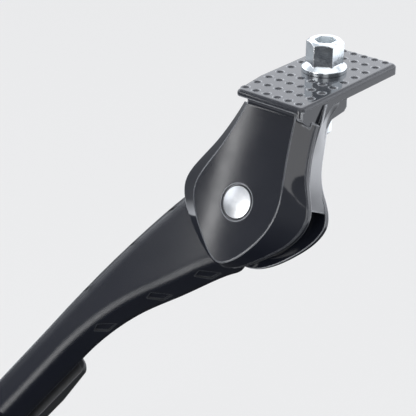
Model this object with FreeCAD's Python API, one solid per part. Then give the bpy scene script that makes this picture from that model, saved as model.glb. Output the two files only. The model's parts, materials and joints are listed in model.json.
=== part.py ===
import FreeCAD, Part
import math
import os

Vector = FreeCAD.Vector
Rotation = FreeCAD.Rotation
Placement = FreeCAD.Placement

# All lengths are millimetres and all angles degrees.
# Origin: bolt axis at the top face of the clamp plate. +X along the plate's short side, towards
# the side that the leg folds to, +Y along its long side, away from the leg, +Z up.

# clamp plate, a shallow channel pressed from sheet
plate_near_y = -38.4
plate_far_y = 25.2
plate_right_x = 18.3
plate_left_x = -16.0
plate_left_near_x = -13.4
plate_taper_y = -20.5
plate_sheet = 2.4
plate_rim_depth = 4.2
plate_rim_gap = 6.0
plate_edge_radius = 1.6
plate_corner_radius = 2.2
bump_radius = 1.75
bump_height = 0.55
bump_pitch_x = 5.14
bump_pitch_y = 7.09
bump_first_x = -11.9
bump_first_y = -34.2
bump_columns = 6
bump_rows = 9

# fixing bolt, M8 with a flange and a hexagon socket in its hexagon head
bolt_diameter = 8.0
bolt_thread_diameter = 7.9
bolt_length = 27.0
bolt_plain_length = 9.2
bolt_tip_chamfer = 1.0
bolt_flange_diameter = 18.0
bolt_flange_edge = 1.8
bolt_flange_height = 3.4
bolt_hex_flats = 13.0
bolt_head_height = 12.6
bolt_crown_diameter = 12.0
bolt_crown_angle = 30.0
bolt_socket_flats = 8.0
bolt_socket_depth = 6.5
bolt_hole_clearance = 0.3
nut_flats = 12.0
nut_height = 6.5

# pivot centre on the front face, and the tilt of the plane that the leg swings in
pivot_x = -0.5
pivot_y = -52.8
pivot_z = -38.5
splay = 28.0

# front cheek: a raised dish in the bracket's sheet, and the rear cheek behind the leg's slot
dish_depth = 5.0
dish_sheet = 2.6
cheek_sheet = 3.0
dish_edge_radius = 0.5
rim_edge_radius = 0.9
slot_depth = 13.0
web_sheet = 2.4
rear_edge_radius = 1.2
# how far under the plate the dish ends and its straight neck starts, and that level in the tilted frame
neck_top_drop = 3.08
neck_top_v = (-plate_sheet - neck_top_drop - pivot_z) / math.cos(math.radians(splay))
neck_left_u = -9.5
neck_right_u = 13.6
neck_bend_radius = 2.5
relief_width = 2.6
gusset_back_y = -4.9
gusset_right_x = 15.0

# pivot pin and what it carries
pin_head_diameter = 12.6
pin_head_dome = 0.9
pin_recess_depth = 1.2
pin_recess_clearance = 0.9
pin_diameter = 9.0
running_clearance = 0.05
pin_tail_diameter = 12.0
pin_tail_height = 2.0
tail_washer_diameter = 17.0
tail_washer_thick = 1.4
bush_wall = 1.5
thrust_washer_diameter = 27.0
thrust_washer_thick = 0.9
thrust_gap = 0.1
spring_disc_diameter = 22.0
spring_disc_thick = 0.9
spring_disc_rise = 0.7
collar_diameter = 20.0

# leg, drawn in its own s (down the leg) and p (across it) directions
leg_lean = 30.0
leg_thick = 11.0
leg_hub_radius = 20.0
leg_end_s = 222.0
leg_upper_p = -29.2
leg_ridge_p = -15.8
leg_back_p = -10.0
leg_straight_s = 112.0
leg_heel_angle = 35.0
leg_upper_chamfer = 2.2
leg_heel_chamfer = 1.2
leg_ridge_radius = 3.0
mark_starts = (30.0, 54.0, 84.0)
mark_depth = 0.8

# detent in the hub, and the cam arch above it
detent_diameter = 6.0
detent_clearance = 0.1
detent_angle = 42.5
detent_reach = 1.2
detent_length = 7.6
detent_travel = 2.0
detent_bore_radius = 8.2
detent_spring_wire = 0.8
detent_spring_turns = 4
spring_sides = 8
cam_gap = 0.3
cam_band = 2.9
cam_width = 10.5
cam_half_angle = 57.0
fold_angle = 95.0

# adjustable foot
sleeve_start_s = 156.0
sleeve_end_s = 246.0
sleeve_wall = 2.6
sleeve_clearance = 0.3
stop_gap = 0.3
sleeve_corner = 2.4
foot_travel = 36.0
end_plate_reach = 1.2
end_plate_thick = 2.5
end_screw_diameter = 5.0
end_screw_head_diameter = 9.0
end_screw_head_height = 3.2
end_screw_length = 16.0
end_screw_socket_flats = 3.0
end_room = 0.4
pad_wall = 2.2
pad_start_s = 234.0
ground_z = -236.0
pad_sole = 6.0

# release lever on the back of the foot sleeve
lever_start_s = 113.0
lever_pin_s = 163.0
lever_nose_s = 181.0
lever_p = -13.5
lever_width = 9.0
lever_gap = 3.3
lever_tip_thick = 3.0
lever_root_thick = 6.4
lever_root_s = 136.0
lever_side_clearance = 0.3
lever_pin_diameter = 3.0
lever_press_angle = 3.2
rib_pitch = 1.9
rib_height = 0.5
rib_count = 14
ear_wall = 2.4
ear_end_s = 194.0
roof_thick = 2.2
roof_room = 2.6
lever_spring_diameter = 5.0
lever_spring_wire = 0.7
lever_spring_turns = 2
rack_pitch = 4.0
rack_depth = 1.2
rack_teeth = 11
nose_gap = 0.3

# depths from the front face, w
slot_front_w = dish_depth + cheek_sheet
slot_back_w = slot_front_w + slot_depth
back_w = slot_back_w + cheek_sheet
leg_front_w = slot_front_w + thrust_washer_thick + thrust_gap
leg_back_w = leg_front_w + leg_thick
leg_middle_w = (leg_front_w + leg_back_w) / 2
bush_radius = pin_diameter / 2 + running_clearance + bush_wall
detent_rest_radius = leg_hub_radius + detent_reach
lever_under_w = leg_back_w + lever_gap

# outlines in u, v: the dish's raised face, the bracket's rim and the rear cheek
dish_outline = [
    (neck_right_u, neck_top_v), (14.9, 27), (17.2, 14), (18.8, 4.5), (16.5, -7.4), (10, -17.6), (4.2, -22.9),
    (0, -24.2), (-4.2, -22.6), (-9.3, -18.2), (-17.2, -9.2), (-21.2, -0.5), (-19.2, 8.8),
    (-15, 18.5), (-11.6, 29), (neck_left_u, neck_top_v)]
rim_outline = [
    (20.2, neck_top_v), (21, 27.5), (24, 15.7), (29.4, 3), (26.4, -6.6), (18, -15.4), (9, -22.2),
    (0, -25.8), (-7.5, -24.2), (-15.5, -19), (-26, -9.2), (-30.2, 0), (-27, 9.6),
    (-21.8, 18.7), (-17.3, 29), (-14.6, neck_top_v)]
rear_outline = [
    (13.6, 53), (13.9, 40), (15, 31.6), (16.7, 23.7), (18.9, 17.2), (25.9, 7.6), (28, 1.5),
    (26, -5), (19, -13.6), (9.2, -21.6), (0, -24.8), (-9.2, -21.6), (-19, -13.6), (-26, -5),
    (-28.4, 1.5), (-26, 8), (-21, 15), (-16.5, 23.7), (-12.5, 31.6), (-10.7, 40), (-9, 53)]
# side webs: height v, then u at the bracket's rim and u at the rear cheek
right_web = [
    (6, 28.0, 26.0), (9.5, 26.0, 24.0), (13, 24.6, 21.3), (18, 22.9, 18.3), (25, 21.2, 16.1),
    (32, 20.5, 14.7), (40, 20.1, 13.8), (52, 19.8, 13.6)]
left_web = [
    (1.9, -29.0, -27.6), (8, -27.2, -25.2), (13.5, -24.6, -21.4), (20, -20.9, -17.6),
    (29, -17.1, -13.2), (38, -14.4, -10.8), (52, -12.2, -9.1)]
# leg's edges in s, p: upper edge, ridge of the front face, and the edge of the back face
leg_upper_edge = [(-1.7, -19.9), (9, -22.4), (20.6, -24.6), (41, -27), (66, -28.7)]
leg_ridge = [(19.6, 10.6), (22, 9), (25, 7), (31, 3.9), (46, -1.6), (69.6, -10), (91, -14.3)]
leg_back_edge = [(21.6, 13.2), (24.4, 13.2), (27.5, 11.8), (33.3, 9.3), (52, 2.7), (69, -3.9), (90, -8.9)]
# sunk marks on the leg: s past the mark's start, and share of the way across the slanted face
lower_mark = [(8.9, 0.33), (5, 0.19), (0, 0.68), (5.6, 0.74)]
upper_mark = [(0, 0.95), (-4, 0.2), (-1, 0.1), (3, 0.9)]

# the tilted housing frame is local x = u, y = v, z = -w; the leg's is x = s, y = p, z = -w
housing = Placement(Vector(pivot_x, pivot_y, pivot_z), Rotation(Vector(1, 0, 0), 90 - splay))
leg_turn = Placement(Vector(0, 0, 0), Rotation(Vector(0, 0, 1), 270 - leg_lean))
leg_frame = housing.multiply(leg_turn)


def place(shape, frame):
    placed = shape.copy()
    placed.transformShape(frame.toMatrix(), True)
    return placed


def save(shape, name):
    shape.exportStep("parts/" + name + ".step")
    print(name, len(shape.Solids), "solid", round(shape.Volume, 1), "mm3", shape.isValid())


def disc(radius, front_w, back_w_, centre=(0, 0)):
    return Part.makeCylinder(radius, back_w_ - front_w, Vector(centre[0], centre[1], -back_w_))


def ring(outer, inner, front_w, back_w_):
    return disc(outer, front_w, back_w_).cut(disc(inner, front_w - 1, back_w_ + 1))


def polygon_prism(points, front_w, back_w_):
    corners = [Vector(a, b, -back_w_) for a, b in points]
    face = Part.Face(Part.makePolygon(corners + corners[:1]))
    return face.extrude(Vector(0, 0, back_w_ - front_w))


def curve_wire(points, w):
    # a smooth curve through the points, closed by a straight line
    curve = Part.BSplineCurve()
    corners = [Vector(a, b, -w) for a, b in points]
    curve.interpolate(corners)
    return Part.Wire([curve.toShape(), Part.makeLine(corners[-1], corners[0])])


def inset(points, distance):
    # moves each point of a clockwise outline inwards, square to its neighbours
    moved = []
    last = len(points) - 1
    for i, (a, b) in enumerate(points):
        a0, b0 = points[max(i - 1, 0)]
        a1, b1 = points[min(i + 1, last)]
        length = math.hypot(a1 - a0, b1 - b0)
        step = (distance * (b1 - b0) / length, distance * (a0 - a1) / length)
        moved.append((a + step[0], b + step[1] - (distance if i in (0, last) else 0)))
    return moved


def hexagon(flats, z, height):
    corners = [Vector(flats / math.sqrt(3) * math.cos(math.radians(60 * k + 30)),
                      flats / math.sqrt(3) * math.sin(math.radians(60 * k + 30)), z) for k in range(7)]
    return Part.Face(Part.makePolygon(corners)).extrude(Vector(0, 0, height))


def helix_spring(diameter, wire, height, turns):
    # a coil of many-sided wire
    radius = diameter / 2 - wire / 2
    steps = int(turns * spring_sides)
    points = []
    for k in range(steps + 1):
        angle = 2 * math.pi * k / spring_sides
        points.append(Vector(radius * math.cos(angle), radius * math.sin(angle), height * k / steps))
    path = Part.BSplineCurve()
    path.interpolate(points)
    out = Vector(wire / 2, 0, 0)
    along = path.tangent(0)[0].cross(out)
    corners = []
    for k in range(spring_sides):
        angle = 2 * math.pi * k / spring_sides
        corners.append(points[0] + out * math.cos(angle) + along * math.sin(angle))
    section = Part.makePolygon(corners + corners[:1])
    return Part.Wire(path.toShape()).makePipeShell([section], True, True)


def below_plate(shape):
    room = 200
    return shape.cut(Part.makeBox(room, room, room, Vector(-room / 2, -room / 2, -plate_sheet)))


def plate_channel():
    corners = [(plate_left_near_x, plate_near_y), (plate_right_x, plate_near_y),
               (plate_right_x, plate_far_y), (plate_left_x, plate_far_y), (plate_left_x, plate_taper_y)]
    outline = Part.makePolygon([Vector(x, y, -plate_rim_depth) for x, y in corners + corners[:1]])
    block = Part.Face(outline).extrude(Vector(0, 0, plate_rim_depth))
    upright = [e for e in block.Edges if abs(e.tangentAt(e.FirstParameter).z) > 0.9]
    square = [e for e in upright if abs(e.CenterOfMass.y - plate_taper_y) > 1]
    block = block.makeFillet(plate_corner_radius, square)
    block = block.makeFillet(plate_edge_radius, [e for e in block.Edges if abs(e.CenterOfMass.z) < 0.01])
    room = 10
    left_x = plate_left_x + plate_sheet
    near_x = plate_left_near_x + plate_sheet
    right_x = plate_right_x - plate_sheet
    hollow = [(near_x, plate_near_y - room), (right_x, plate_near_y - room), (right_x, plate_far_y + room),
              (left_x, plate_far_y + room), (left_x, plate_taper_y), (near_x, plate_near_y)]
    corners = [Vector(x, y, -plate_rim_depth - 1) for x, y in hollow]
    pocket = Part.Face(Part.makePolygon(corners + corners[:1]))
    block = block.cut(pocket.extrude(Vector(0, 0, plate_rim_depth + 1 - plate_sheet)))
    # the left rim stops short of the near edge
    block = block.cut(Part.makeBox(room, plate_rim_gap, room, Vector(plate_left_x, plate_near_y, -plate_sheet - room)))
    return block.cut(Part.makeCylinder(bolt_diameter / 2 + bolt_hole_clearance, 20, Vector(0, 0, -10)))


def bump(x, y):
    # a low dome, the cap of a ball, rooted in the plate
    ball = (bump_radius ** 2 + bump_height ** 2) / (2 * bump_height)
    cap = Part.makeSphere(ball, Vector(x, y, bump_height - ball))
    slab = Part.makeBox(4 * bump_radius, 4 * bump_radius, bump_height + 0.2,
                        Vector(x - 2 * bump_radius, y - 2 * bump_radius, -0.2))
    return cap.common(slab)


def plate_bumps():
    bumps = []
    clear = bolt_flange_diameter / 2 + bump_radius
    for column in range(bump_columns):
        for row in range(bump_rows):
            x = bump_first_x + column * bump_pitch_x
            y = bump_first_y + row * bump_pitch_y
            if math.hypot(x, y) > clear:
                bumps.append(bump(x, y))
    return bumps


def side_fold():
    # the plate's right side drawn down to the bracket's rim, with a slot that relieves the fold
    inner_x = plate_right_x - plate_sheet
    outline = [(plate_near_y + 0.6, -1.5), (-17.4, -1.5), (-17.4, -plate_rim_depth), (-20.5, -5.8),
               (-24.5, -9.4), (-28.3, -11.6), (-31, -12.6), (-33, -9), (plate_near_y + 0.6, -5)]
    corners = [Vector(inner_x, y, z) for y, z in outline]
    sheet = Part.Face(Part.makePolygon(corners + corners[:1])).extrude(Vector(plate_sheet, 0, 0))
    top, bottom = (-36.8, -3.5), (-29.6, -9.4)
    run = math.hypot(bottom[0] - top[0], bottom[1] - top[1])
    slot = Part.makeBox(12, run, relief_width, Vector(0, 0, -relief_width / 2))
    slot = slot.fuse([Part.makeCylinder(relief_width / 2, 12, Vector(0, 0, 0), Vector(1, 0, 0)),
                      Part.makeCylinder(relief_width / 2, 12, Vector(0, run, 0), Vector(1, 0, 0))])
    lean = math.degrees(math.atan2(bottom[1] - top[1], bottom[0] - top[0]))
    slot.Placement = Placement(Vector(inner_x - 5, top[0], top[1]), Rotation(Vector(1, 0, 0), lean))
    return sheet, slot


def curved_edges(shape, w):
    level = [e for e in shape.Edges if abs(e.BoundBox.ZMin + w) < 0.01 and abs(e.BoundBox.ZMax + w) < 0.01]
    return [e for e in level if not isinstance(e.Curve, Part.Line)]


def front_dish():
    face = curve_wire(dish_outline, 0)
    rim = curve_wire(rim_outline, dish_depth)
    band = Part.Face(curve_wire(rim_outline, slot_front_w)).extrude(Vector(0, 0, cheek_sheet))
    dish = Part.makeLoft([face, rim], True, True).fuse(band).removeSplitter()
    dish = dish.makeFillet(dish_edge_radius, curved_edges(dish, 0))
    rims = curved_edges(dish, dish_depth) + curved_edges(dish, slot_front_w)
    dish = dish.makeFillet(rim_edge_radius, rims)
    hollow = Part.makeLoft([curve_wire(inset(dish_outline, dish_sheet), dish_sheet),
                            curve_wire(inset(rim_outline, cheek_sheet), slot_front_w)], True, True)
    strip = polygon_prism([(neck_left_u, neck_top_v - 1), (neck_right_u, neck_top_v - 1),
                           (neck_right_u, neck_top_v + 8), (neck_left_u, neck_top_v + 8)], 0, dish_sheet)
    dish = dish.fuse(strip).cut(hollow)
    recess = disc(pin_head_diameter / 2 + pin_recess_clearance, -1, pin_recess_depth)
    return dish.cut(recess.fuse(disc(pin_diameter / 2 + running_clearance, -1, slot_front_w)))


def bracket():
    fold, slot = side_fold()
    dish = below_plate(place(front_dish(), housing))
    body = plate_channel().fuse(dish).removeSplitter()
    neck_width = neck_right_u - neck_left_u
    level = [e for e in body.Edges if abs(e.BoundBox.ZMin + plate_sheet) < 0.05 and e.BoundBox.ZLength < 0.05]
    bend = [e for e in level if abs(e.BoundBox.XLength - neck_width) < 0.05 and e.BoundBox.YLength < 0.05]
    body = body.makeFillet(neck_bend_radius, bend)
    return body.fuse(plate_bumps() + [fold]).cut(slot).removeSplitter()


def web(rows, inward):
    wires = []
    for v, front_u, rear_u in rows:
        corners = [(front_u, slot_front_w), (rear_u, back_w),
                   (rear_u + inward * web_sheet, back_w), (front_u + inward * web_sheet, slot_front_w)]
        points = [Vector(u, v, -w) for u, w in corners]
        wires.append(Part.makePolygon(points + points[:1]))
    return Part.makeLoft(wires, True, False)


def rear_cheek(front):
    sheet = Part.Face(curve_wire(rear_outline, back_w)).extrude(Vector(0, 0, cheek_sheet))
    sheet = sheet.makeFillet(rear_edge_radius, curved_edges(sheet, back_w))
    shell = place(sheet.fuse([web(right_web, -1), web(left_web, 1)]), housing)
    outline = [(-26, -1), (gusset_back_y, -1), (gusset_back_y + 0.2, -10), (gusset_back_y - 1.4, -11.5),
               (-14.2, -12.4), (-17.6, -15.5), (-19.2, -24), (-26, -24)]
    corners = [Vector(gusset_right_x - web_sheet, y, z) for y, z in outline]
    gusset = Part.Face(Part.makePolygon(corners + corners[:1])).extrude(Vector(web_sheet, 0, 0))
    body = below_plate(shell.fuse(gusset))
    body = body.cut(place(disc(pin_diameter / 2 + running_clearance, 0, back_w + 1), housing))
    return body.cut(front).removeSplitter()


def mounting_bolt():
    flange = bolt_flange_diameter / 2
    neck = bolt_hex_flats / 2
    profile = [(0, 0), (flange, 0), (flange, bolt_flange_edge), (neck + 0.4, bolt_flange_height),
               (0, bolt_flange_height)]
    corners = [Vector(r, 0, z) for r, z in profile]
    skirt = Part.Face(Part.makePolygon(corners + corners[:1])).revolve(Vector(0, 0, 0), Vector(0, 0, 1), 360)
    crown_radius = bolt_crown_diameter / 2
    spread = bolt_head_height / math.tan(math.radians(bolt_crown_angle))
    crown = Part.makeCone(crown_radius + spread, crown_radius, bolt_head_height)
    head = hexagon(bolt_hex_flats, 0, bolt_head_height).common(crown)
    socket = hexagon(bolt_socket_flats, bolt_head_height - bolt_socket_depth, bolt_socket_depth + 1)
    plain = Part.makeCylinder(bolt_diameter / 2, bolt_plain_length, Vector(0, 0, -bolt_plain_length))
    tail = Part.makeCylinder(bolt_thread_diameter / 2, bolt_length, Vector(0, 0, -bolt_length))
    tip = [e for e in tail.Edges if abs(e.BoundBox.ZMax + bolt_length) < 0.01]
    tail = tail.makeChamfer(bolt_tip_chamfer, tip)
    return skirt.fuse([head, plain, tail]).cut(socket).removeSplitter()


def weld_nut():
    nut = hexagon(nut_flats, -plate_sheet - nut_height, nut_height)
    nut.rotate(Vector(0, 0, 0), Vector(0, 0, 1), 30)
    return nut.cut(Part.makeCylinder(bolt_diameter / 2, bolt_length, Vector(0, 0, -bolt_length)))


def pivot_pin():
    head_r = pin_head_diameter / 2
    edge_w = pin_recess_depth - 0.9
    under = disc(head_r, edge_w, pin_recess_depth)
    ball = (head_r ** 2 + pin_head_dome ** 2) / (2 * pin_head_dome)
    dome = Part.makeSphere(ball, Vector(0, 0, pin_head_dome - ball - edge_w))
    dome = dome.common(disc(head_r, edge_w - 2, edge_w))
    tail_w = back_w + tail_washer_thick
    shank = disc(pin_diameter / 2, edge_w, tail_w)
    tail = disc(pin_tail_diameter / 2, tail_w, tail_w + pin_tail_height)
    rim = [e for e in tail.Edges if abs(e.BoundBox.ZMax + tail_w + pin_tail_height) < 0.01]
    tail = tail.makeFillet(pin_tail_height * 0.6, rim)
    return place(under.fuse([dome, shank, tail]).removeSplitter(), housing)


def on_pin(outer_radius, front_w, back_w_):
    return place(ring(outer_radius, pin_diameter / 2 + running_clearance, front_w, back_w_), housing)


def spring_disc():
    # a shallow cone that pushes the front thrust washer towards the leg
    inner = pin_diameter / 2 + running_clearance
    outer = spring_disc_diameter / 2
    near = slot_front_w - spring_disc_thick - spring_disc_rise
    profile = [(inner, near), (outer, near + spring_disc_rise), (outer, slot_front_w),
               (inner, slot_front_w - spring_disc_rise)]
    corners = [Vector(r, 0, -w) for r, w in profile]
    face = Part.Face(Part.makePolygon(corners + corners[:1]))
    return place(face.revolve(Vector(0, 0, 0), Vector(0, 0, 1), 360), housing)


def leg_wire(share, upper_inset, lower_inset):
    # outline at a share of the thickness: hub arc, heel line, lower edge, end of the bar, upper edge
    def point(s, p):
        return Vector(s, p, -leg_front_w - leg_thick * share)

    def blend(front, back):
        return front + (back - front) * share

    lower = [(blend(a[0], b[0]), blend(a[1], b[1]) - lower_inset) for a, b in zip(leg_ridge, leg_back_edge)]
    lower_end = blend(leg_ridge_p, leg_back_p) - lower_inset
    taper_s = leg_upper_edge[2][0]
    upper = [(s, p + upper_inset * min(1, max(0, s) / taper_s)) for s, p in leg_upper_edge]
    upper_end = leg_upper_p + upper_inset
    hub_scale = leg_hub_radius / math.hypot(*upper[0])
    hub_start = point(upper[0][0] * hub_scale, upper[0][1] * hub_scale)
    heel = math.radians(leg_heel_angle)
    hub_end = point(leg_hub_radius * math.cos(heel), leg_hub_radius * math.sin(heel))
    lower_curve = Part.BSplineCurve()
    lower_curve.interpolate([point(*q) for q in lower] + [point(leg_straight_s, lower_end)])
    upper_curve = Part.BSplineCurve()
    upper_curve.interpolate([point(leg_straight_s, upper_end)] + [point(*q) for q in reversed(upper[1:])]
                            + [hub_start])
    parts = [
        Part.Arc(hub_start, point(-leg_hub_radius, 0), hub_end).toShape(),
        Part.makeLine(hub_end, point(*lower[0])),
        lower_curve.toShape(),
        Part.makeLine(point(leg_straight_s, lower_end), point(leg_end_s, lower_end)),
        Part.makeLine(point(leg_end_s, lower_end), point(leg_end_s, upper_end)),
        Part.makeLine(point(leg_end_s, upper_end), point(leg_straight_s, upper_end)),
        upper_curve.toShape()]
    return Part.Wire(parts)


def height_at(points, s):
    # straight-line reading of an outline at s
    for (s0, p0), (s1, p1) in zip(points, points[1:]):
        if s <= s1:
            return p0 + (p1 - p0) * (s - s0) / (s1 - s0)
    return points[-1][1]


def sunk_mark(front_line, front_w, back_line, back_w_, corners):
    # a shallow pocket in the slanted face between two lines of the leg; corners are s, share across
    def on_face(s, share):
        front_p = height_at(front_line, s)
        back_p = height_at(back_line, s)
        return Vector(s, front_p + (back_p - front_p) * share, -front_w - (back_w_ - front_w) * share)

    middle_s = sum(s for s, share in corners) / len(corners)
    across = on_face(middle_s, 1) - on_face(middle_s, 0)
    along = on_face(middle_s + 1, 0.5) - on_face(middle_s - 1, 0.5)
    out = along.cross(across)
    out.normalize()
    if out.z < 0:
        out = out * -1
    middle = on_face(middle_s, sum(share for s, share in corners) / len(corners))
    flat = []
    for s, share in corners:
        spot = on_face(s, share)
        flat.append(spot - out * (spot - middle).dot(out) - out * mark_depth)
    return Part.Face(Part.makePolygon(flat + flat[:1])).extrude(out * (mark_depth + 2))


def leg_marks():
    upper = [(s, p + leg_upper_chamfer) for s, p in leg_upper_edge]
    chamfer_back_w = leg_front_w + leg_upper_chamfer
    marks = []
    for s in mark_starts:
        lower_corners = [(s + a, share) for a, share in lower_mark]
        upper_corners = [(s + a, share) for a, share in upper_mark]
        marks.append(sunk_mark(leg_ridge, leg_front_w, leg_back_edge, leg_back_w, lower_corners))
        marks.append(sunk_mark(upper, leg_front_w, leg_upper_edge, chamfer_back_w, upper_corners))
    return marks


def radial_cylinder(radius, start, end, angle, w):
    # a cylinder that points away from the pivot, at an angle from u in the housing plane
    direction = Vector(math.cos(math.radians(angle)), math.sin(math.radians(angle)), 0)
    base = direction * start
    base.z = -w
    return Part.makeCylinder(radius, end - start, base, direction)


def bar_section(offset, s):
    # the leg's straight bar, a trapezium with one slanted side, grown or shrunk all round
    corners = [(leg_upper_p, leg_front_w), (leg_ridge_p, leg_front_w), (leg_back_p, leg_back_w),
               (leg_upper_p, leg_back_w)]
    wire = Part.makePolygon([Vector(s, p, -w) for p, w in corners + corners[:1]])
    return wire.makeOffset2D(offset, 2) if offset else wire


def bar_block(offset, start_s, end_s):
    return Part.Face(bar_section(offset, start_s)).extrude(Vector(end_s - start_s, 0, 0))


def leg_box(start_s, end_s, low_p, high_p, front_w, back_w_):
    return Part.makeBox(end_s - start_s, high_p - low_p, back_w_ - front_w, Vector(start_s, low_p, -back_w_))


def leg():
    # the upper front edge and the lower back edge are bevelled, the ridge is rounded
    upper_share = leg_upper_chamfer / leg_thick
    lower_share = 1 - leg_heel_chamfer / leg_thick
    sections = [leg_wire(0, leg_upper_chamfer, 0), leg_wire(upper_share, 0, 0),
                leg_wire(lower_share, 0, 0), leg_wire(1, 0, leg_heel_chamfer)]
    layers = [Part.makeLoft([a, b], True, True) for a, b in zip(sections, sections[1:])]
    body = layers[0].fuse(layers[1:]).removeSplitter()
    front = [e for e in body.Edges if abs(e.BoundBox.ZMin + leg_front_w) < 0.01 and e.BoundBox.ZLength < 0.01]
    ridge = [e for e in front if e.Length > leg_straight_s / 2 and e.BoundBox.YMax > leg_ridge_p - 0.1
             and e.BoundBox.XMin > 0]
    body = body.makeFillet(leg_ridge_radius, ridge)
    body = body.cut(leg_marks())
    body = body.cut(disc(bush_radius, leg_front_w - 1, leg_back_w + 1))
    bore_angle = detent_angle - (270 - leg_lean)
    bore = radial_cylinder(detent_diameter / 2 + detent_clearance, detent_bore_radius, leg_hub_radius + 5,
                           bore_angle, leg_middle_w)
    body = body.cut(bore)
    first = lever_nose_s - rack_pitch
    grooves = []
    for k in range(rack_teeth):
        s = first + k * rack_pitch
        profile = [Vector(s, 0, -leg_back_w - 0.1), Vector(s + rack_pitch * 0.9, 0, -leg_back_w - 0.1),
                   Vector(s + rack_pitch * 0.3, 0, -leg_back_w + rack_depth)]
        cutter = Part.Face(Part.makePolygon(profile + profile[:1])).extrude(Vector(0, lever_width, 0))
        cutter.translate(Vector(0, lever_p - lever_width / 2, 0))
        grooves.append(cutter)
    body = body.cut(Part.Compound(grooves))
    hole = Part.makeCylinder(end_screw_diameter / 2, end_screw_length, Vector(leg_end_s - end_screw_length, *end_axis()),
                             Vector(1, 0, 0))
    return place(body.cut(hole), leg_frame)


def end_axis():
    middle_p = (leg_upper_p + (leg_ridge_p + leg_back_p) / 2) / 2
    return middle_p, -leg_middle_w


def detent_plunger():
    radius = detent_diameter / 2
    barrel = radial_cylinder(radius, detent_rest_radius - detent_length, detent_rest_radius - radius,
                             detent_angle, leg_middle_w)
    centre = Vector(math.cos(math.radians(detent_angle)), math.sin(math.radians(detent_angle)), 0)
    centre = centre * (detent_rest_radius - radius)
    centre.z = -leg_middle_w
    return place(barrel.fuse(Part.makeSphere(radius, centre)).removeSplitter(), housing)


def detent_spring():
    length = detent_rest_radius - detent_length - detent_bore_radius
    coil = helix_spring(detent_diameter - 0.4, detent_spring_wire, length - detent_spring_wire, detent_spring_turns)
    coil.translate(Vector(0, 0, detent_spring_wire / 2))
    turn = Rotation(Vector(0, 0, 1), Vector(math.cos(math.radians(detent_angle)),
                                            math.sin(math.radians(detent_angle)), 0))
    base = Vector(math.cos(math.radians(detent_angle)), math.sin(math.radians(detent_angle)), 0)
    base = base * detent_bore_radius
    base.z = -leg_middle_w
    return place(place(coil, Placement(base, turn)), housing)


def cam_arch(rear):
    # an arch between the cheeks: the plunger runs under it and drops into a notch at each end
    inner = detent_rest_radius + cam_gap
    front_w = slot_back_w - cam_width
    arch = ring(inner + cam_band, inner, front_w, slot_back_w)
    reach = 2 * (inner + cam_band)
    low = math.radians(90 - cam_half_angle)
    wedge = polygon_prism([(0, 0), (reach * math.cos(low), reach * math.sin(low)), (reach, 2 * reach),
                           (-reach, 2 * reach), (-reach * math.cos(low), reach * math.sin(low))],
                          front_w - 1, slot_back_w + 1)
    arch = arch.common(wedge)
    notch_top = detent_rest_radius + detent_travel + cam_gap
    for angle in (detent_angle, detent_angle + fold_angle):
        notch = radial_cylinder(detent_diameter / 2 + cam_gap, inner - 2, notch_top, angle, leg_middle_w)
        arch = arch.cut(notch)
    # the stretch between the side webs is kept
    return max(place(arch, housing).cut(rear).Solids, key=lambda piece: piece.Volume)


def end_plate():
    plate = bar_block(end_plate_reach, leg_end_s, leg_end_s + end_plate_thick)
    hole = Part.makeCylinder(end_screw_diameter / 2, 2 * end_plate_thick, Vector(leg_end_s - 1, *end_axis()),
                             Vector(1, 0, 0))
    return place(plate.cut(hole), leg_frame)


def end_screw():
    seat_s = leg_end_s + end_plate_thick
    shank = Part.makeCylinder(end_screw_diameter / 2, end_screw_length + end_plate_thick,
                              Vector(leg_end_s - end_screw_length, *end_axis()), Vector(1, 0, 0))
    head = Part.makeCylinder(end_screw_head_diameter / 2, end_screw_head_height, Vector(seat_s, *end_axis()),
                             Vector(1, 0, 0))
    socket = hexagon(end_screw_socket_flats, 0, 2)
    socket = place(socket, Placement(Vector(seat_s + end_screw_head_height - 1.8, *end_axis()),
                                     Rotation(Vector(0, 1, 0), 90)))
    return place(shank.fuse(head).removeSplitter().cut(socket), leg_frame)


def ground_block(low_z, high_z):
    room = 400
    return Part.makeBox(room, room, high_z - low_z, Vector(-room / 2 - 100, -room / 2 - 100, low_z))


def ear_block():
    half = lever_width / 2 + lever_side_clearance + ear_wall
    roof_w = lever_under_w + lever_root_thick + roof_room + roof_thick
    inside_w = leg_back_w + sleeve_clearance + sleeve_wall / 2
    block = leg_box(sleeve_start_s, ear_end_s, lever_p - half, lever_p + half, inside_w, roof_w)
    slope = leg_box(sleeve_start_s - 1, lever_pin_s + 5, lever_p - half - 1, lever_p + half + 1,
                    roof_w - roof_thick - roof_room, roof_w + 1)
    block = block.cut(slope)
    uprights = [e for e in block.Edges if abs(e.tangentAt(e.FirstParameter).x) > 0.9
                and e.BoundBox.ZMax < -(roof_w - roof_thick - roof_room - 1)]
    return block.makeFillet(1.2, uprights)


def lever_slot():
    half = lever_width / 2 + lever_side_clearance
    top_w = lever_under_w + lever_root_thick + roof_room
    return leg_box(sleeve_start_s - 5, ear_end_s - 3, lever_p - half, lever_p + half, leg_back_w - 0.1, top_w)


def lever_pin_w():
    return lever_under_w + lever_root_thick / 2


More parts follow.
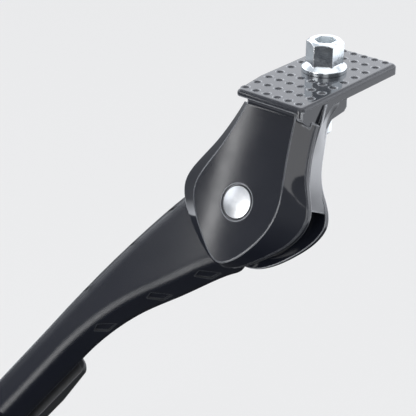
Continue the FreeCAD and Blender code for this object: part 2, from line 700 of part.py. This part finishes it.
def foot_sleeve():
    outer = bar_block(sleeve_clearance + sleeve_wall, sleeve_start_s, sleeve_end_s + 60)
    along = [e for e in outer.Edges if abs(e.tangentAt(e.FirstParameter).x) > 0.99]
    outer = outer.makeFillet(sleeve_corner, along)
    body = outer.fuse(ear_block())
    shoulder_s = leg_end_s - foot_travel - stop_gap
    body = body.cut(bar_block(sleeve_clearance, sleeve_start_s - 1, shoulder_s + 1))
    room_end = leg_end_s + end_plate_thick + end_screw_head_height + end_room
    body = body.cut(bar_block(sleeve_clearance + end_plate_reach, shoulder_s, room_end))
    body = body.cut(lever_slot())
    hole = Part.makeCylinder(lever_pin_diameter / 2, 40, Vector(lever_pin_s, lever_p - 20, -lever_pin_w()),
                             Vector(0, 1, 0))
    body = place(body.cut(hole), leg_frame)
    return body.cut(ground_block(ground_z - 300, ground_z + pad_sole)).removeSplitter()


def foot_pad(sleeve):
    offset = sleeve_clearance + sleeve_wall + pad_wall
    boot = bar_block(offset, pad_start_s, sleeve_end_s + 80)
    along = [e for e in boot.Edges if abs(e.tangentAt(e.FirstParameter).x) > 0.99]
    boot = boot.makeFillet(sleeve_corner + pad_wall, along)
    boot = place(boot, leg_frame).common(ground_block(ground_z, ground_z + 100))
    return boot.cut(sleeve)


def release_lever():
    root_w = lever_under_w + lever_root_thick
    pin_r = lever_pin_diameter / 2
    tip_w = lever_under_w + lever_tip_thick
    nose_w = leg_back_w + nose_gap
    side = [(lever_start_s + 2, lever_under_w), (lever_pin_s + 6, lever_under_w),
            (lever_nose_s - 1.5, nose_w), (lever_nose_s + 1.5, nose_w), (lever_nose_s + 4, lever_under_w),
            (lever_nose_s + 4, root_w - 1), (lever_pin_s + 4, root_w), (lever_root_s, root_w),
            (lever_start_s + 3, tip_w), (lever_start_s, tip_w - 1), (lever_start_s, lever_under_w + 1)]
    corners = [Vector(s, 0, -w) for s, w in side]
    body = Part.Face(Part.makePolygon(corners + corners[:1])).extrude(Vector(0, lever_width, 0))
    tip = [e for e in body.Edges if abs(e.tangentAt(e.FirstParameter).z) > 0.99
           and e.CenterOfMass.x < lever_start_s + 1]
    body = body.makeFillet(lever_width * 0.42, tip)
    slope = math.atan2(root_w - tip_w, lever_root_s - lever_start_s - 3)
    ribs = []
    for k in range(rib_count):
        s = lever_start_s + 4 + k * rib_pitch
        w = tip_w + min(s - lever_start_s - 3, lever_root_s - lever_start_s - 3) * math.tan(slope)
        ribs.append(Part.makeCylinder(rib_height, lever_width - 0.8, Vector(s, 0.4, -w), Vector(0, 1, 0)))
    body = body.fuse(ribs)
    body.translate(Vector(0, lever_p - lever_width / 2, 0))
    hole = Part.makeCylinder(pin_r + running_clearance, 40, Vector(lever_pin_s, lever_p - 20, -lever_pin_w()),
                             Vector(0, 1, 0))
    return place(body.cut(hole).removeSplitter(), leg_frame)


def lever_pin():
    half = lever_width / 2 + lever_side_clearance + ear_wall
    pin = Part.makeCylinder(lever_pin_diameter / 2, 2 * half, Vector(lever_pin_s, lever_p - half, -lever_pin_w()),
                            Vector(0, 1, 0))
    return place(pin, leg_frame)


def lever_spring():
    # drawn at its pressed length under the roof of the sleeve's housing
    roof_w = lever_under_w + lever_root_thick + roof_room
    press = (lever_nose_s - lever_pin_s) * math.tan(math.radians(lever_press_angle))
    length = roof_room + 0.6 - press
    coil = helix_spring(lever_spring_diameter, lever_spring_wire, length - lever_spring_wire, lever_spring_turns)
    coil.translate(Vector(0, 0, lever_spring_wire / 2))
    return place(place(coil, Placement(Vector(lever_nose_s, lever_p, -roof_w), Rotation())), leg_frame)


def build():
    os.makedirs("parts", exist_ok=True)
    front = bracket()
    rear = rear_cheek(front)
    sleeve = foot_sleeve()
    pin_w = slot_front_w - spring_disc_thick - spring_disc_rise
    save(front, "top_bracket")
    save(rear, "rear_cheek")
    save(mounting_bolt(), "mounting_bolt")
    save(weld_nut(), "weld_nut")
    save(pivot_pin(), "pivot_pin")
    save(on_pin(tail_washer_diameter / 2, back_w, back_w + tail_washer_thick), "tail_washer")
    save(on_pin(collar_diameter / 2, dish_sheet, pin_w), "dish_collar")
    save(spring_disc(), "spring_disc")
    save(on_pin(thrust_washer_diameter / 2, slot_front_w, slot_front_w + thrust_washer_thick), "front_thrust_washer")
    save(on_pin(thrust_washer_diameter / 2, slot_back_w - thrust_washer_thick, slot_back_w), "rear_thrust_washer")
    save(on_pin(bush_radius, leg_front_w, leg_back_w), "hub_bush")
    save(leg(), "leg")
    save(detent_plunger(), "detent_plunger")
    save(detent_spring(), "detent_spring")
    save(cam_arch(rear), "cam_arch")
    save(end_plate(), "end_plate")
    save(end_screw(), "end_screw")
    save(sleeve, "foot_sleeve")
    save(release_lever(), "release_lever")
    save(lever_pin(), "lever_pin")
    save(lever_spring(), "lever_spring")
    save(foot_pad(sleeve), "foot_pad")


build()
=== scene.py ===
# Black centre-mount kickstand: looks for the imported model, seen from the photo's angle.
import bpy
import json
import math
from mathutils import Vector, Matrix

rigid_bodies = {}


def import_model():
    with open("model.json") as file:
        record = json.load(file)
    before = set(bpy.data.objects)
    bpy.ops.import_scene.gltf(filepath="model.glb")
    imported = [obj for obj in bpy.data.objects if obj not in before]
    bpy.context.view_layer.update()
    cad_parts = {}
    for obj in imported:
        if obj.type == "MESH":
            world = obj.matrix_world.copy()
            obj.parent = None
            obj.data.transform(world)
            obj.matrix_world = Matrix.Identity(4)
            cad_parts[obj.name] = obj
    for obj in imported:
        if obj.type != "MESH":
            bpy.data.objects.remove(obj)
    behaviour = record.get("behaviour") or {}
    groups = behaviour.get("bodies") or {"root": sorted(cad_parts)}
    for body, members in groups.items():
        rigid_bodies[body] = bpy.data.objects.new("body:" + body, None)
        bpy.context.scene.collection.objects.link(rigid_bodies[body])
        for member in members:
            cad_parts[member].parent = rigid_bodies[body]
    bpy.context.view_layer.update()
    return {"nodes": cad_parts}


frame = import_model()
nodes = frame["nodes"]
for item in bpy.data.objects:
    item.select_set(False)
print("frame loaded:", len(nodes), "nodes")

# a Mix node's socket numbers for each kind of value: factor, first, second and result
mixSockets = {"RGBA": (0, 6, 7, 2), "FLOAT": (0, 2, 3, 0)}


def opaque(colour):
    return (*colour, 1.0)


def addNode(tree, kind, place, settings=None, values=None):
    node = tree.nodes.new(kind)
    node.location = place
    for name, value in (settings or {}).items():
        setattr(node, name, value)
    for name, value in (values or {}).items():
        node.inputs[name].default_value = value
    return node


# mixes two colours or two numbers; each input is a value or another node's output
def addMix(tree, kind, place, factor, first, second, blend="MIX"):
    node = addNode(tree, "ShaderNodeMix", place, {"data_type": kind, "blend_type": blend})
    *inputs, result = mixSockets[kind]
    for number, value in zip(inputs, (factor, first, second)):
        if isinstance(value, bpy.types.NodeSocket):
            tree.links.new(value, node.inputs[number])
        else:
            node.inputs[number].default_value = value
    return node.outputs[result]


# a shader group whose inputs are all numbers
def newGroup(name, inputs, outputs):
    group = bpy.data.node_groups.new(name, "ShaderNodeTree")
    for label in inputs:
        group.interface.new_socket(name=label, in_out="INPUT", socket_type="NodeSocketFloat")
    for label, kind in outputs.items():
        group.interface.new_socket(name=label, in_out="OUTPUT", socket_type=kind)
    start = addNode(group, "NodeGroupInput", (-900, 0))
    end = addNode(group, "NodeGroupOutput", (700, 0))
    return group, start, end


# the waves' noise and depth in metres, the rays that round an edge, and how far
# a rounded normal has to turn from the flat one for the first and for the full painted edge
# highlight
waveDetail = {"noise": {"Detail": 3.0, "Roughness": 0.55}, "depth": 0.0002, "edgeSamples": 6,
              "paintedGleam": {"From Min": 0.06, "From Max": 0.3}}


# rounds edges in the shading, masks them for a painted edge highlight, adds the paint's or
# casting's fine waves
def makeSurfaceWave(values):
    group, start, end = newGroup(
        "surfaceWave", ["Scale", "Strength", "Edge Radius", "Line Radius"],
        {"Normal": "NodeSocketVector", "Edge": "NodeSocketFloat"})
    samples = {"samples": values["edgeSamples"]}
    coords = addNode(group, "ShaderNodeTexCoord", (-900, 250))
    noise = addNode(group, "ShaderNodeTexNoise", (-600, 150), None, values["noise"])
    edge = addNode(group, "ShaderNodeBevel", (-300, -200), samples)
    line = addNode(group, "ShaderNodeBevel", (-300, -450), samples)
    plain = addNode(group, "ShaderNodeNewGeometry", (-600, -400))
    # how far the line bevel's normal turns from the flat one is the Edge mask: where the painted
    # edge highlight goes
    turned = addNode(group, "ShaderNodeVectorMath", (-50, -350), {"operation": "DISTANCE"})
    paintedGleam = addNode(group, "ShaderNodeMapRange", (200, -350), None, values["paintedGleam"])
    bump = addNode(group, "ShaderNodeBump", (200, 0), None, {"Distance": values["depth"]})
    link = group.links.new
    link(coords.outputs["Object"], noise.inputs["Vector"])
    link(start.outputs["Scale"], noise.inputs["Scale"])
    link(noise.outputs["Fac"], bump.inputs["Height"])
    link(start.outputs["Strength"], bump.inputs["Strength"])
    link(edge.outputs["Normal"], bump.inputs["Normal"])
    link(bump.outputs["Normal"], end.inputs["Normal"])
    link(start.outputs["Edge Radius"], edge.inputs["Radius"])
    link(start.outputs["Line Radius"], line.inputs["Radius"])
    link(line.outputs["Normal"], turned.inputs[0])
    link(plain.outputs["Normal"], turned.inputs[1])
    link(turned.outputs["Value"], paintedGleam.inputs["Value"])
    link(paintedGleam.outputs["Result"], end.inputs["Edge"])
    return group


# the patches' noise, and the part of its range that is spread from low to high
patchDetail = {"noise": {"Detail": 5.0, "Roughness": 0.6},
               "spread": {"From Min": 0.35, "From Max": 0.65}}


# soft patches that vary a finish between a low and a high value
def makePatches(values):
    group, start, end = newGroup(
        "finishPatches", ["Scale", "Low", "High"], {"Value": "NodeSocketFloat"})
    coords = addNode(group, "ShaderNodeTexCoord", (-900, 250))
    noise = addNode(group, "ShaderNodeTexNoise", (-600, 150), None, values["noise"])
    spread = addNode(group, "ShaderNodeMapRange", (-100, 0), None, values["spread"])
    link = group.links.new
    link(coords.outputs["Object"], noise.inputs["Vector"])
    link(start.outputs["Scale"], noise.inputs["Scale"])
    link(noise.outputs["Fac"], spread.inputs["Value"])
    link(start.outputs["Low"], spread.inputs["To Min"])
    link(start.outputs["High"], spread.inputs["To Max"])
    link(spread.outputs["Result"], end.inputs["Value"])
    return group


# a mask that is 1 inside an upright hole on the origin's axis, above the height of its floor
def makeHoleMask():
    group, start, end = newGroup("holeMask", ["Radius", "Floor"], {"Mask": "NodeSocketFloat"})
    coords = addNode(group, "ShaderNodeTexCoord", (-900, 250))
    split = addNode(group, "ShaderNodeSeparateXYZ", (-700, 250))
    flat = addNode(group, "ShaderNodeCombineXYZ", (-500, 350))
    reach = addNode(group, "ShaderNodeVectorMath", (-300, 350), {"operation": "LENGTH"})
    inside = addNode(group, "ShaderNodeMath", (-100, 350), {"operation": "LESS_THAN"})
    above = addNode(group, "ShaderNodeMath", (-100, 100), {"operation": "GREATER_THAN"})
    both = addNode(group, "ShaderNodeMath", (200, 200), {"operation": "MULTIPLY"})
    link = group.links.new
    link(coords.outputs["Object"], split.inputs["Vector"])
    link(split.outputs["X"], flat.inputs["X"])
    link(split.outputs["Y"], flat.inputs["Y"])
    link(flat.outputs["Vector"], reach.inputs[0])
    link(reach.outputs["Value"], inside.inputs[0])
    link(start.outputs["Radius"], inside.inputs[1])
    link(split.outputs["Z"], above.inputs[0])
    link(start.outputs["Floor"], above.inputs[1])
    link(inside.outputs["Value"], both.inputs[0])
    link(above.outputs["Value"], both.inputs[1])
    link(both.outputs["Value"], end.inputs["Mask"])
    return group


surfaceWave = makeSurfaceWave(waveDetail)
holeMask = makeHoleMask()
finishPatches = makePatches(patchDetail)
print("shader groups made")

# dark and light: the colours that the patches run between; rough: the least and greatest roughness;
# edgeRadius: how far edges are rounded; lineRadius: how far from an edge the painted edge
# highlight, a lighter colour standing in for light caught on the edge, shows; hole: a radius and
# the height of its floor. Lengths in metres
finishes = {
    "blackPaint": {"dark": (0.0075, 0.0088, 0.0135), "light": (0.01, 0.0115, 0.017), "metal": 0.0,
                   "rough": (0.055, 0.08), "patch": 70.0, "wave": 260.0, "waveStrength": 0.006,
                   "edgeRadius": 0.0008, "lineRadius": 0.0008, "paintedEdgeHighlight": (0.32, 0.33, 0.35)},
    "legPaint": {"dark": (0.0085, 0.01, 0.015), "light": (0.011, 0.0125, 0.0185), "metal": 0.0,
                 "rough": (0.14, 0.18), "patch": 45.0, "wave": 220.0, "waveStrength": 0.01,
                 "edgeRadius": 0.005, "lineRadius": 0.0008, "paintedEdgeHighlight": (0.06, 0.064, 0.07)},
    "brightZinc": {"dark": (0.6, 0.65, 0.68), "light": (0.74, 0.78, 0.8), "metal": 1.0,
                   "rough": (0.1, 0.22), "patch": 260.0, "wave": 1500.0, "waveStrength": 0.12,
                   "edgeRadius": 0.0005, "lineRadius": 0.0005, "paintedEdgeHighlight": (0.9, 0.92, 0.93)},
    "brushedZinc": {"dark": (0.6, 0.62, 0.64), "light": (0.74, 0.75, 0.76), "metal": 1.0,
                    "rough": (0.3, 0.42), "patch": 400.0, "wave": 1800.0, "waveStrength": 0.25,
                    "edgeRadius": 0.0005, "lineRadius": 0.0005, "paintedEdgeHighlight": (0.8, 0.81, 0.82)},
    "socketZinc": {"dark": (0.6, 0.65, 0.68), "light": (0.74, 0.78, 0.8), "metal": 1.0,
                   "rough": (0.12, 0.26), "patch": 260.0, "wave": 900.0, "waveStrength": 0.12,
                   "edgeRadius": 0.0005, "lineRadius": 0.0005, "paintedEdgeHighlight": (0.9, 0.92, 0.93),
                   # inside the socket the colour is painted brighter than the zinc, painted light
                   # in the recess; it is also rougher there
                   "hole": (0.0048, 0.0055), "holeTone": (0.8, 0.84, 0.86), "holeRough": 0.5},
    "oiledSteel": {"dark": (0.2, 0.2, 0.21), "light": (0.32, 0.32, 0.33), "metal": 1.0,
                   "rough": (0.28, 0.42), "patch": 200.0, "wave": 1500.0, "waveStrength": 0.15,
                   "edgeRadius": 0.0004, "lineRadius": 0.0004, "paintedEdgeHighlight": (0.45, 0.45, 0.46)},
    "bronzeBush": {"dark": (0.38, 0.24, 0.11), "light": (0.52, 0.34, 0.17), "metal": 1.0,
                   "rough": (0.35, 0.5), "patch": 400.0, "wave": 2400.0, "waveStrength": 0.2,
                   "edgeRadius": 0.0004, "lineRadius": 0.0004, "paintedEdgeHighlight": (0.6, 0.42, 0.24)},
    "mattePlastic": {"dark": (0.02, 0.021, 0.023), "light": (0.03, 0.031, 0.033), "metal": 0.0,
                     "rough": (0.42, 0.52), "patch": 90.0, "wave": 2600.0, "waveStrength": 0.2,
                     "edgeRadius": 0.0008, "lineRadius": 0.0008, "paintedEdgeHighlight": (0.06, 0.062, 0.066)},
    "footRubber": {"dark": (0.014, 0.014, 0.014), "light": (0.022, 0.022, 0.022), "metal": 0.0,
                   "rough": (0.66, 0.8), "patch": 120.0, "wave": 1800.0, "waveStrength": 0.35,
                   "edgeRadius": 0.0006, "lineRadius": 0.0006, "paintedEdgeHighlight": (0.035, 0.035, 0.036)},
}
colourPatch = 0.4  # share of the gloss's patch scale that the colour's larger patches have


def makeMaterial(name, finish):
    material = bpy.data.materials.new(name)
    material.use_nodes = True
    tree = material.node_tree
    tree.nodes.clear()
    out = addNode(tree, "ShaderNodeOutputMaterial", (700, 0))
    shader = addNode(tree, "ShaderNodeBsdfPrincipled", (400, 0), None, {
        "Metallic": finish["metal"]})
    wave = addNode(tree, "ShaderNodeGroup", (-300, -300), {"node_tree": surfaceWave}, {
        "Scale": finish["wave"], "Strength": finish["waveStrength"],
        "Edge Radius": finish["edgeRadius"], "Line Radius": finish["lineRadius"]})
    rough = addNode(tree, "ShaderNodeGroup", (-300, -50), {"node_tree": finishPatches}, {
        "Scale": finish["patch"], "Low": finish["rough"][0], "High": finish["rough"][1]})
    tone = addNode(tree, "ShaderNodeGroup", (-500, 200), {"node_tree": finishPatches}, {
        "Scale": finish["patch"] * colourPatch, "Low": 0.0, "High": 1.0})
    colour = addMix(tree, "RGBA", (-100, 250), tone.outputs["Value"],
                    opaque(finish["dark"]), opaque(finish["light"]))
    # painted highlight: along edges the colour turns to the lighter edge colour, standing in for
    # light caught by a rounded edge
    colour = addMix(tree, "RGBA", (150, 250), wave.outputs["Edge"],
                    colour, opaque(finish["paintedEdgeHighlight"]))
    gloss = rough.outputs["Value"]
    # painted light: inside the bolt's socket the colour is made brighter, standing in for light
    # within the recess; the socket is also made rougher
    if "hole" in finish:
        radius, floor = finish["hole"]
        hole = addNode(tree, "ShaderNodeGroup", (-300, 500), {"node_tree": holeMask}, {
            "Radius": radius, "Floor": floor})
        colour = addMix(tree, "RGBA", (250, 450), hole.outputs["Mask"],
                        colour, opaque(finish["holeTone"]))
        gloss = addMix(tree, "FLOAT", (250, -50), hole.outputs["Mask"],
                       gloss, finish["holeRough"])
    link = tree.links.new
    link(colour, shader.inputs["Base Color"])
    link(gloss, shader.inputs["Roughness"])
    link(wave.outputs["Normal"], shader.inputs["Normal"])
    link(shader.outputs["BSDF"], out.inputs["Surface"])
    return material


materials = {name: makeMaterial(name, finish) for name, finish in finishes.items()}
# a node that isn't named here is oiled steel
nodeFinish = {
    "top_bracket": "blackPaint", "rear_cheek": "blackPaint", "leg": "legPaint",
    "mounting_bolt": "socketZinc", "pivot_pin": "brushedZinc", "tail_washer": "brightZinc",
    "lever_pin": "brightZinc", "hub_bush": "bronzeBush", "foot_sleeve": "mattePlastic",
    "release_lever": "mattePlastic", "foot_pad": "footRubber"}
for name, node in nodes.items():
    node.data.materials.clear()
    node.data.materials.append(materials[nodeFinish.get(name, "oiledSteel")])
print("materials given to", len(nodes), "nodes")

# camera at the photo's place, with no roll: degrees, then metres, then the lens and sensor in mm
photoCamera = {"azimuth": 41.08, "elevation": 27.45,
               "distance": 0.5, "right": -0.04586, "up": -0.05463, "nearest": 0.01,
               "lens": 109.46, "sensor": 36.0}


def placeCamera(values):
    azimuth = math.radians(values["azimuth"])
    elevation = math.radians(values["elevation"])
    back = Vector((math.sin(azimuth) * math.cos(elevation),
                   -math.cos(azimuth) * math.cos(elevation), math.sin(elevation)))
    right = Vector((math.cos(azimuth), math.sin(azimuth), 0.0))
    up = back.cross(right)
    camera = bpy.data.objects.new("photoCamera", bpy.data.cameras.new("photoCamera"))
    bpy.context.scene.collection.objects.link(camera)
    turn = Matrix((right, up, back)).transposed().to_4x4()
    place = back * values["distance"] + right * values["right"] + up * values["up"]
    camera.matrix_world = Matrix.Translation(place) @ turn
    camera.data.lens = values["lens"]
    camera.data.sensor_width = values["sensor"]
    camera.data.clip_start = values["nearest"]
    bpy.context.scene.camera = camera
    return place


cameraPlace = placeCamera(photoCamera)
print("camera placed at", [round(v, 4) for v in cameraPlace])

# pale floor, low enough for the foot drawn right out; most of its tone is its own glow
paleFloor = {"size": 12.0, "height": -0.2645, "colour": (0.18, 0.18, 0.18),
             "roughness": 0.9, "glow": 0.62}


# the floor isn't mirrored in the part, and throws no light or shadow on it
def makeFloor(values):
    bpy.ops.mesh.primitive_plane_add(size=values["size"], location=(0, 0, values["height"]))
    floor = bpy.context.object
    floor.name = "studioFloor"
    bpy.ops.object.transform_apply(location=True, rotation=False, scale=False)
    material = bpy.data.materials.new("paleFloor")
    material.use_nodes = True
    shader = material.node_tree.nodes["Principled BSDF"]
    shader.inputs["Base Color"].default_value = opaque(values["colour"])
    shader.inputs["Roughness"].default_value = values["roughness"]
    shader.inputs["Specular IOR Level"].default_value = 0.0
    shader.inputs["Emission Color"].default_value = (1.0, 1.0, 1.0, 1.0)
    shader.inputs["Emission Strength"].default_value = values["glow"]
    floor.data.materials.append(material)
    floor.visible_glossy = False
    floor.visible_diffuse = False
    floor.visible_shadow = False


# the room that the part mirrors: seen is the flat tone that the camera sees instead, and no tone is
# above brightest. The three lists give the tone by the height, z, of the direction looked in:
# behind the part, on its left (x from leftFrom to leftTo) and on the camera's side (the share of
# the direction that points at the camera, from cameraFrom to cameraTo)
room = {"seen": 0.83, "tint": (0.97, 1.0, 1.06), "brightest": 3.0,
        "leftFrom": -0.4, "leftTo": -0.7, "cameraFrom": -0.1, "cameraTo": 0.35,
        "behind": [(-0.8, 0.06), (-0.6, 0.2), (-0.52, 0.35), (-0.42, 1.7), (-0.2, 1.5),
                   (0.2, 2.5), (0.5, 2.3), (0.7, 0.9)],
        "left": [(-0.8, 0.06), (-0.6, 1.0), (-0.44, 1.8), (-0.34, 0.3), (0.06, 0.3),
                 (0.2, 2.5), (0.5, 2.3), (0.7, 0.9)],
        "cameraSide": [(-0.75, 0.02), (-0.4, 0.08), (0.0, 0.2), (0.3, 0.45), (0.7, 0.5),
                       (0.9, 0.8)]}


def heightRamp(tree, place, stops, brightest):
    ramp = addNode(tree, "ShaderNodeValToRGB", place)
    elements = ramp.color_ramp.elements
    while len(elements) < len(stops):
        elements.new(0.5)  # moved to its own height below
    for element, (height, tone) in zip(elements, stops):
        element.position = (height + 1) / 2
        element.color = opaque([tone / brightest] * 3)
    return ramp


def makeRoom(values, cameraWay):
    world = bpy.data.worlds.new("studioRoom")
    bpy.context.scene.world = world
    world.use_nodes = True
    tree = world.node_tree
    tree.nodes.clear()
    smooth = {"interpolation_type": "SMOOTHSTEP"}
    brightest = values["brightest"]
    out = addNode(tree, "ShaderNodeOutputWorld", (1300, 0))
    glow = addNode(tree, "ShaderNodeBackground", (1100, 0))
    coords = addNode(tree, "ShaderNodeTexCoord", (-900, 0))
    towards = addNode(tree, "ShaderNodeVectorMath", (-650, 100), {"operation": "DOT_PRODUCT"})
    towards.inputs[1].default_value = cameraWay
    side = addNode(tree, "ShaderNodeMapRange", (-450, 200), smooth, {
        "From Min": values["cameraFrom"], "From Max": values["cameraTo"]})
    split = addNode(tree, "ShaderNodeSeparateXYZ", (-650, -150))
    height = addNode(tree, "ShaderNodeMapRange", (-450, -150), None, {
        "From Min": -1.0, "From Max": 1.0})
    behind = heightRamp(tree, (-200, 250), values["behind"], brightest)
    left = heightRamp(tree, (-200, -50), values["left"], brightest)
    aside = addNode(tree, "ShaderNodeMapRange", (-450, 500), smooth, {
        "From Min": values["leftFrom"], "From Max": values["leftTo"]})
    near = heightRamp(tree, (-200, -350), values["cameraSide"], brightest)
    path = addNode(tree, "ShaderNodeLightPath", (400, 300))
    link = tree.links.new
    link(coords.outputs["Generated"], towards.inputs[0])
    link(coords.outputs["Generated"], split.inputs["Vector"])
    link(towards.outputs["Value"], side.inputs["Value"])
    link(split.outputs["Z"], height.inputs["Value"])
    link(split.outputs["X"], aside.inputs["Value"])
    for ramp in (behind, left, near):
        link(height.outputs["Result"], ramp.inputs["Fac"])
    tone = addMix(tree, "RGBA", (0, 250), aside.outputs["Result"],
                  behind.outputs["Color"], left.outputs["Color"])
    tone = addMix(tree, "RGBA", (150, 0), side.outputs["Result"], tone, near.outputs["Color"])
    tint = opaque([part * brightest for part in values["tint"]])
    tone = addMix(tree, "RGBA", (400, 0), 1.0, tone, tint, "MULTIPLY")
    tone = addMix(tree, "RGBA", (800, 0), path.outputs["Is Camera Ray"],
                  tone, opaque([values["seen"]] * 3))
    link(tone, glow.inputs["Color"])
    link(glow.outputs["Background"], out.inputs["Surface"])


# each light's place, what it faces, the way its long side runs, its width and length, and its power
lights = {
    "bandStrip": {"place": (-0.708, -0.939, 0.369), "aim": (-0.009, -0.048, -0.029),
                  "along": (-0.057, 0.450, 0.891), "size": (0.02, 0.5), "power": 0.2},
    "frontBox": {"place": (-0.12, -1.2, 0.0), "aim": (0.0, -0.05, -0.03),
                 "along": (0.0, 0.0, 1.0), "size": (0.5, 1.1), "power": 10.0},
    "flankBox": {"place": (0.8, -0.82, 0.42), "aim": (0.01, -0.036, -0.027),
                 "along": (0.0, 0.0, 1.0), "size": (0.5, 0.75), "power": 2.3},
    "overheadBox": {"place": (0.1, 0.3, 1.6), "aim": (0.0, 0.0, -0.1),
                    "along": (0.0, 1.0, 0.0), "size": (1.6, 1.6), "power": 6.0},
}


def softBox(name, values):
    light = bpy.data.objects.new(name, bpy.data.lights.new(name, "AREA"))
    bpy.context.scene.collection.objects.link(light)
    light.data.shape = "RECTANGLE"
    light.data.size, light.data.size_y = values["size"]
    light.data.energy = values["power"]
    back = (Vector(values["place"]) - Vector(values["aim"])).normalized()
    across = Vector(values["along"]).cross(back).normalized()
    turn = Matrix((across, back.cross(across), back)).transposed().to_4x4()
    light.matrix_world = Matrix.Translation(values["place"]) @ turn
    light.visible_camera = False


makeFloor(paleFloor)
makeRoom(room, cameraPlace.normalized())
for name, values in lights.items():
    softBox(name, values)
bpy.context.scene.view_settings.view_transform = "Standard"
print("studio ready")
